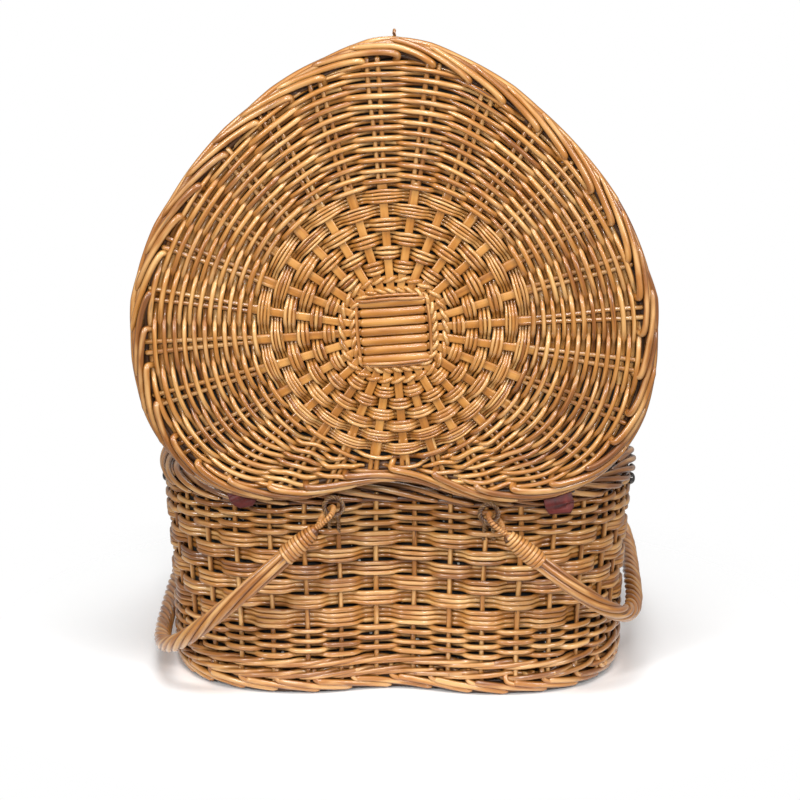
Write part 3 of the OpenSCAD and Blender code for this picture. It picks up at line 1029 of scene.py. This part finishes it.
# ---- Handles ----
BAIL_EXP = 4
SPAN_Y = 200
NECK_END = 19
BINDING_END = 54
RING_BACK = -147 - MID_Y
RING_FRONT = 218 - MID_Y
ROPE_LEAD = 92
ROPE_RODS = 6
SLOW_TWIST = 0.10
NECK_LAY = 2.2
ROPE_LAY = 4.75
NECK_ROD_R = 1.7
ROPE_ROD_R = 2.85


class Bail:
    """One handle: its plane hangs down from the pivot on one side of the basket."""

    def __init__(self, name, side, pivot, reach, hang):
        self.name, self.side, self.pivot, self.reach = name, side, pivot, reach
        self.hang = math.radians(hang)
        self.body = f"handle_{name}"
        t = np.linspace(0, PI, 2000)
        away = reach * np.sin(t) ** (2 / BAIL_EXP)
        y = -SPAN_Y * np.sign(np.cos(t)) * np.abs(np.cos(t)) ** (2 / BAIL_EXP)
        self.line = np.c_[away, y]
        self.run = running(self.line)
        self.length = self.run[-1]
        self.normal = np.array([side * math.sin(self.hang), 0, math.cos(self.hang)])

    def place(self, away, y):
        x = self.pivot[0] + self.side * away * math.cos(self.hang)
        z = self.pivot[2] - away * math.sin(self.hang)
        return xyz(x, y, z)

    def middle(self, run):
        return self.place(*at_length(run, self.run, self.line).T)


def twist(middle, normal, angle, radius):
    """A line that winds round another at these angles."""
    along = unit(np.gradient(middle, axis=0))
    side = unit(np.cross(along, normal))
    top = np.cross(side, along)
    out = side * np.cos(angle)[:, None] + top * np.sin(angle)[:, None]
    return middle + out * np.broadcast_to(radius, len(middle))[:, None], out


def wrap(weave, middle, normal, radius, pitch, width, thick, tones=(0.3, 1)):
    """A flat strip wound side by side round a line."""
    run = running(middle)
    length = run[-1]
    s = np.linspace(0, length, int(length / pitch * 14))
    radius = np.atleast_1d(radius)
    size = np.interp(s, np.linspace(0, length, len(radius)), radius)
    pts, out = twist(at_length(s, run, middle), normal, s / pitch * TAU, size)
    weave.strand(pts, width / 2, out, thick / width, draw(*tones))


def cane_pair(weave, middle, normal, angle, offset, radius, darkest=0.4):
    """Two canes twisted round each other along a line."""
    for strand in (0, 1):
        pts, up = twist(middle, normal, angle + strand * PI, offset)
        weave.strand(pts, radius, up, tone=draw(darkest, 1))


def rope(bail):
    """Six rods laid straight at the ends and twisted tight round a core along the middle."""
    weave = Weave(10)
    run = np.linspace(NECK_END + 4, bail.length - NECK_END - 4, 420)
    end = np.minimum(run, bail.length - run)
    middle = bail.middle(run)
    rate = (SLOW_TWIST + (1 - SLOW_TWIST) * smooth((end - 60) / 150)) * TAU / ROPE_LEAD
    turn = np.cumsum(rate) * (run[1] - run[0])
    neck = smooth((end - 22) / 34)
    for i in range(ROPE_RODS):
        out = (NECK_LAY + (ROPE_LAY - NECK_LAY) * neck) * (1 + wander(len(run), 0.02, 20))
        pts, up = twist(middle, bail.normal, turn + i * TAU / ROPE_RODS, out)
        size = (NECK_ROD_R + (ROPE_ROD_R - NECK_ROD_R) * neck) * draw(0.94, 1.05)
        weave.strand(pts, size, up, 0.95, draw(0.1, 0.95))
    weave.strand(middle, 2.6, bail.normal, tone=0.2)
    weave.build(f"{bail.name}_rope_rods", BORDER_WILLOW, f"{bail.name}_rope", body=bail.body)


def ferrules(bail):
    """Cane wound round each end of the rope."""
    weave = Weave()
    run = np.linspace(NECK_END + 2, BINDING_END, 60)
    radius = 5.4 + 2.3 * smooth((run - NECK_END) / 20)
    for places in (run, bail.length - run):
        middle = bail.middle(places)
        weave.strand(middle, radius - 0.5, bail.normal, tone=0.1)
        wrap(weave, middle, bail.normal, radius, pitch=3.25, width=3.35, thick=1.5, tones=(0.5, 1))
    weave.build(f"{bail.name}_ferrules", CANE, f"{bail.name}_bindings", "cane", body=bail.body)


EYE_PATH = (
    (25, 0.13), (20, 0.09), (8, 0.02), (2.5, 0.10), (0, 0.40), (0, 0.85), (2.4, 1.16),
    (7, 1.22), (11.6, 1.16), (14, 0.85), (14.5, 0.45), (18, 0.26), (25, 0.20),
)
BACK_REACH = 1.3
FRONT_REACH = 1.16


def eyes(bail):
    """The wrapped eye at each end, which goes through its cane ring and back. The path gives
    the way along the leg, and the way across from the leg (0) to the ring (1)."""
    weave = Weave()
    away, across = spline(EYE_PATH, 70).T
    for ring_y, leg_y, reach in ((RING_BACK, -SPAN_Y, BACK_REACH), (RING_FRONT, SPAN_Y, FRONT_REACH)):
        middle = bail.place(away, leg_y + np.minimum(across, reach) * (ring_y - leg_y))
        weave.strand(middle, 1.7, bail.normal, tone=0.2)
        wrap(weave, middle, bail.normal, 1.75, pitch=2.5, width=2.5, thick=1.2)
    weave.build(f"{bail.name}_eye_loops", CANE, f"{bail.name}_eyes", "cane", body=bail.body)


CANE_RING_R = 7.6
RING_TURNS = 6
RING_LAY = 1.15
TAIL_STEPS = 44
TAIL_RUN = 46
TAIL_LEAD = 13
TAIL_REACH = 14


def cane_ring(name, pivot, y, tail_y):
    """A ring of three canes twisted together, with two tails down and into the wall."""
    weave = Weave()
    x, z = pivot[0], pivot[2]
    a = np.linspace(0, TAU, 97)[:-1]
    out = xyz(np.cos(a), 0, np.sin(a))
    middle = np.array([x, y, z]) + CANE_RING_R * out
    for strand in range(3):
        turn = (RING_TURNS * a + strand * TAU / 3)[:, None]
        pts = middle + RING_LAY * (out * np.cos(turn) + np.sin(turn) * [0, 1, 0])
        weave.strand(pts, 1.0, out, tone=draw(0.4, 1), closed=True)
    inward = np.sign(tail_y - y)
    drop = z - max(0.0, abs(tail_y - y) - TAIL_REACH)
    turn = np.linspace(0, TAIL_RUN, TAIL_STEPS) / TAIL_LEAD * TAU
    for way in (-1, 1):
        tail = spline([
            (x + 3 * way, y, z - 6),
            (x + 3.3 * way, 0.3 * y + 0.7 * tail_y, drop - 12),
            (x + 3.7 * way, tail_y + 1.5 * inward, drop - 19),
            (x + 4 * way, tail_y + 5 * inward, drop - 27),
        ], TAIL_STEPS)
        cane_pair(weave, tail, (0, -1, 0), turn, offset=0.95, radius=1.0, darkest=0.5)
    weave.build(f"{name}_cane", RING_CANE, name, "cane")


# ---- Leather, studs, fastening and linings ----
HINGE_X = 130
STRAP_W = 24
STRAP_T = 1.8
LEFT_DROP = 5.0
RIGHT_DROP = 11.5
STAY_W = 12
STAY_BOW = 3.0
STAY_HEAD_X = 165
STAY_HEAD_Z = 295
STUD_X = 177.5
STUD_Z = 152
SIDES = ((-1, "left"), (1, "right"))


def strap(weave, path, width, facing):
    weave.strand(spline(path, 48), width / 2, facing, STRAP_T / width, boxy=True, blunt=True)


def hinge_loops():
    """A wide leather loop at each lobe, from the lid's inner side to the rim."""
    y, z = HINGE[1:]
    for side, label in SIDES:
        weave = Weave(16)
        x, drop = side * HINGE_X, RIGHT_DROP if side > 0 else LEFT_DROP
        lean = np.array([-2.5, 0, 2.5, 4.5, 5.5, 6, 6])
        back = np.array([0.6, 0.3, -0.8, -3.6, -4.6, -1.6, 3.4])
        down = np.array([24, 12, 2, -0.45 * drop, -0.85 * drop, -drop, -0.8 * drop])
        strap(weave, xyz(x + lean, y + back, z + down), STRAP_W, [0, -1, 0.02])
        piece = weave.build(f"hinge_loop_{label}", LEATHER, f"hinge_strap_{label}", "leather", body=None)
        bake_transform(piece)


def stays():
    """Leather stays inside the basket, from the wall's studs to the lid."""
    for side, label in SIDES:
        weave = Weave(16)
        foot = np.array([side * STUD_X, -MID_Y, STUD_Z])
        head = np.array([side * STAY_HEAD_X, HINGE[1] + 1, STAY_HEAD_Z])
        path = foot + (head - foot) * np.linspace(0, 1, 9)[:, None]
        path[:, 0] -= side * STAY_BOW * np.sin(np.linspace(0, PI, 9))
        strap(weave, path, STAY_W, [1, 0, 0])
        piece = weave.build(f"stay_{label}", LEATHER, f"stay_strap_{label}", "leather", body=None)
        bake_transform(piece)


def studs():
    """Domed studs with their washers, one each side."""
    weave = Weave(28)
    for side in (-1, 1):
        x0 = side * (RIM_SCALE * HALF_W + 0.3)
        dome = np.linspace(0, PI / 2, 9)
        x = np.r_[[-22, -0.6, -0.6, 0.2, 0.4], 0.4 + 3.8 * np.sin(dome)]
        radius = np.r_[[1.5, 1.5, 6.0, 6.0, 5.2], 5.2 * np.cos(dome) + 0.02]
        path = xyz(x0 + side * (x + 1e-3 * np.arange(len(x))), -MID_Y, STUD_Z)
        weave.strand(path, radius, [0, 0, 1.0], tone=0.5, blunt=True)
    weave.build("stay_stud_domes", STEEL, "stay_studs", "steel")


LATCH_Y = 232.5 - MID_Y
LATCH_Z = 170
LATCH_X = 12
LATCH_R = 3.6
LATCH_CANE = 0.72
LOOP_CANE = 0.7
LOOP_LEAD = 9
ACROSS = (1, 0, 0)
PEG_AT = (0, 0.03, 0.1, 0.84, 0.87, 0.9, 0.96, 1)
PEG_RADIUS = (1.2, 1.7, 1.95, 1.95, 2.3, 3.4, 3.5, 2.2)


def rim_loops():
    """A small ring of two thin canes on each side of the lid's loop."""
    weave = Weave()
    a = np.linspace(0.05 * PI, 1.95 * PI, 60)
    for x in (-LATCH_X, LATCH_X):
        middle = xyz(x, LATCH_Y + LATCH_R * np.cos(a), LATCH_Z + LATCH_R * np.sin(a))
        cane_pair(weave, middle, ACROSS, 5 * a, LATCH_CANE, LATCH_CANE)
    weave.build("latch_loops_cane", CANE, "latch_loops", "cane")


def lid_loop():
    """The long loop of two twisted canes that stands out from the inside of the lid's tip."""
    weave = Weave()
    low, high = box_mm("lid_loop")
    bend = high[1] - LATCH_R - 2 * LOOP_CANE
    centre = (low[2] + high[2]) / 2
    a = np.linspace(-PI / 2, PI / 2, 24)
    leg = np.linspace(low[1] + 0.8, bend, 14)[:-1]
    under = xyz(0, leg, centre - LATCH_R)
    curve = xyz(0, bend + LATCH_R * np.cos(a), centre + LATCH_R * np.sin(a))
    middle = np.r_[under, curve, under[::-1] + [0, 0, 2 * LATCH_R]]
    cane_pair(weave, middle, ACROSS, running(middle) / LOOP_LEAD * TAU, LOOP_CANE, LOOP_CANE)
    weave.build("lid_loop_cane", CANE, "lid_loop", "cane", body="lid")


def peg():
    """The turned peg, with a collar and a knob at one end."""
    weave = Weave(20)
    low, high = box_mm("latch_peg")
    t = np.linspace(0, 1, 40)
    centre = (low + high) / 2
    path = xyz(low[0] + (high[0] - low[0]) * t, centre[1], centre[2])
    weave.strand(path, np.interp(t, PEG_AT, PEG_RADIUS), [0, 0, 1.0], tone=0.7, blunt=True)
    weave.build("latch_peg_turned", PALE_WILLOW, "latch_peg", "willow_pale", body="peg")


def hinge_rods():
    """The rods that the leather loops turn on, whipped with a groove near each end."""
    weave = Weave(16)
    for side in (-1, 1):
        x = np.linspace(-STRAP_W / 2 - 5, STRAP_W / 2 + 5, 40)
        radius = 1.9 - 0.35 * np.exp(-(((np.abs(x) - 14.5) / 0.8) ** 2))
        path = xyz(side * HINGE_X + x, HINGE[1], HINGE[2])
        weave.strand(path, radius, [0, 0, 1.0], tone=0.5)
    weave.build("hinge_rods_turned", STEEL, "hinge_rods", "steel", body="lid")


def cloth_piece(name, grid, flat, material, node, body="basket"):
    """A sheet from rings of points in mm, with its flat coordinates in metres."""
    rows, columns = grid.shape[:2]
    i = columns * np.arange(rows - 1)[:, None]
    j = np.arange(columns)[None]
    j2 = (j + 1) % columns
    faces = np.stack([i + j, i + j2, i + columns + j2, i + columns + j], -1)
    mesh = bpy.data.meshes.new(name)
    mesh.from_pydata((grid.reshape(-1, 3) * MM).tolist(), [], faces.reshape(-1, 4).tolist())
    carry(mesh, "cloth", xyz(flat[..., 0] * MM, flat[..., 1] * MM, 0))
    piece = finish_mesh(mesh, name, material, node, body)
    thick = piece.modifiers.new("Thickness", "SOLIDIFY")
    thick.thickness = CLOTH_T * MM
    thick.offset = 0
    return piece


CLOTH_T = 0.8
LINING_DEPTH = -8.2
LINING_K = 0.834
LID_LINING_K = 0.925
LID_LINING_Z = -7.2
LINING_TOP = BORDER_Z + 4
LINING_FLOOR = FOOT_TOP + 12
FOLDS = 120


def wall_lining():
    """The cloth wall: a strip gathered a little into soft upright folds."""
    columns, rows = 640, 34
    share = np.arange(columns) / columns
    z = np.linspace(LINING_FLOOR, LINING_TOP, rows)
    fold = np.interp(share, np.linspace(0, 1, FOLDS), rng.normal(0, 0.5, FOLDS), period=1)
    depth = LINING_DEPTH + fold[None] * np.linspace(0.35, 1, rows)[:, None]
    grid = wall(np.broadcast_to(share, (rows, columns)), z[:, None], depth)[0]
    length = Ring(wall_scale(z.mean()), 0).length
    flat = np.stack(np.broadcast_arrays(share[None] * length, z[:, None]), -1)
    piece = cloth_piece("lining_wall", grid, flat, WALL_CLOTH, "lining")


def heart_cloth(name, scale, place, material, node, body):
    """A heart cut from cloth, from its middle out, with a slight unevenness."""
    rows, columns = 46, 240
    edge = OUTLINE * scale
    ring = edge[:: OUTLINE_POINTS // columns]
    flat = ring[None] * np.linspace(0.002, 1, rows)[:, None, None]
    wave = 0.5 * np.sin(flat[..., 0] / 17 + 0.7) * np.sin(flat[..., 1] / 23)
    lift = wave + rng.normal(0, 0.03, (rows, columns))
    piece = cloth_piece(name, place(flat, lift), flat, material, node, body)


def floor_lining():
    """The cloth heart that lies on the woven floor."""
    def place(flat, lift):
        return xyz(flat[..., 0], flat[..., 1] + BASE_Y, LINING_FLOOR + 0.8 + lift)
    heart_cloth(
        "lining_floor", LINING_K, place, WALL_CLOTH, "lining", "basket",
    )


def lid_lining():
    """The cloth heart stretched over the lid's inner face."""
    def place(flat, lift):
        return lid_place(flat, LID_LINING_Z + 0.6 * lift)
    heart_cloth(
        "lid_lining_cloth", LID_LINING_K, place, LID_CLOTH, "lid_lining", "lid",
    )


# ---- Studio ----
TARGET = np.array([0.0, -0.030, 0.200])
AZIMUTH = math.radians(1.34)
ELEVATION = math.radians(15.12)
DISTANCE = 3.0
FILL = 0.34
LENS = 156.7
SHIFT = (0.002, 0.0286)


def camera():
    data = bpy.data.cameras.new("camera")
    data.lens = LENS
    data.sensor_width = 36
    data.shift_x, data.shift_y = SHIFT
    made = bpy.data.objects.new("camera", data)
    bpy.context.scene.collection.objects.link(made)
    x, y = math.sin(AZIMUTH), -math.cos(AZIMUTH)
    flat = math.cos(ELEVATION)
    back = np.array([x * flat, y * flat, math.sin(ELEVATION)])
    aim(made, TARGET + DISTANCE * back, TARGET)
    bpy.context.scene.camera = made


def aim(thing, place, target):
    thing.location = place
    direction = Vector(np.subtract(target, place))
    thing.rotation_euler = direction.to_track_quat("-Z", "Y").to_euler()


def softbox(name, place, size, power):
    data = bpy.data.lights.new(name, "AREA")
    data.shape = "RECTANGLE"
    data.size, data.size_y = size
    data.energy = power
    made = bpy.data.objects.new(name, data)
    bpy.context.scene.collection.objects.link(made)
    aim(made, place, (0, -0.05, 0.24))


def studio():
    """Softboxes in a white room, with a floor that fades out of sight."""
    softbox("softbox_left", (-1.8, -2.1, 1.3), (0.5, 0.9), 38)
    softbox("softbox_right", (2.0, -1.8, 1.2), (0.5, 0.9), 32)
    softbox("softbox_top", (0.1, -1.3, 2.3), (1.0, 0.6), 40)
    softbox("softbox_front", (0.15, -3.0, 1.6), (0.4, 0.25), 34)
    softbox("softbox_back", (-0.3, 1.5, 2.6), (0.9, 0.6), 15)
    world = bpy.data.worlds.new("studio")
    bpy.context.scene.world = world
    world.use_nodes = True
    tree = world.node_tree
    background = tree.nodes["Background"]
    background.inputs["Color"].default_value = (1, 1, 1, 1)
    seen = tree.nodes.new("ShaderNodeLightPath").outputs["Is Camera Ray"]
    strength = tree.nodes.new("ShaderNodeMapRange")
    strength.inputs["To Min"].default_value = FILL
    tree.links.new(seen, strength.inputs["Value"])
    tree.links.new(strength.outputs[0], background.inputs["Strength"])
    bpy.ops.mesh.primitive_plane_add(size=14)
    floor = bpy.context.object
    floor.name = "studio_floor"
    floor.data.materials.append(floor_material())
    bpy.context.scene.view_settings.view_transform = "Standard"


# ---- The basket, piece by piece ----
camera()
studio()
for mat, nodes, rows in (
    (LID_MAT, ("lid_pairing", "lid_slewing", "lid_randing"), 22),
    (BASE_MAT, ("base_mat", "base_mat", "base_mat"), 20),
):
    slath(mat)
    sticks(mat)
    pairing(mat, nodes[0])
    slewing(mat, nodes[1])
    randing(mat, nodes[2], rows, 4)
binders()
lid_border()
side_stakes()
wale()
wall_randing("lower_randing", WALE_TOP, LOWER_TOP, 7)
wall_slewing()
wall_randing("upper_randing", SLEW_TOP, BORDER_Z, 5)
rim_border()
foot_border()
for bail in (
    Bail("left", -1, LEFT_PIVOT, reach=208.5, hang=43),
    Bail("right", 1, RIGHT_PIVOT, reach=163, hang=39.5),
):
    rope(bail)
    ferrules(bail)
    eyes(bail)
cane_ring("ring_left_back", LEFT_PIVOT, RING_BACK, RING_BACK + 11)
cane_ring("ring_left_front", LEFT_PIVOT, RING_FRONT, RING_FRONT - 14)
cane_ring("ring_right_back", RIGHT_PIVOT, RING_BACK, RING_BACK + 9)
cane_ring("ring_right_front", RIGHT_PIVOT, RING_FRONT, RING_FRONT - 35)
hinge_loops()
stays()
studs()
rim_loops()
lid_loop()
peg()
hinge_rods()
wall_lining()
floor_lining()
lid_lining()
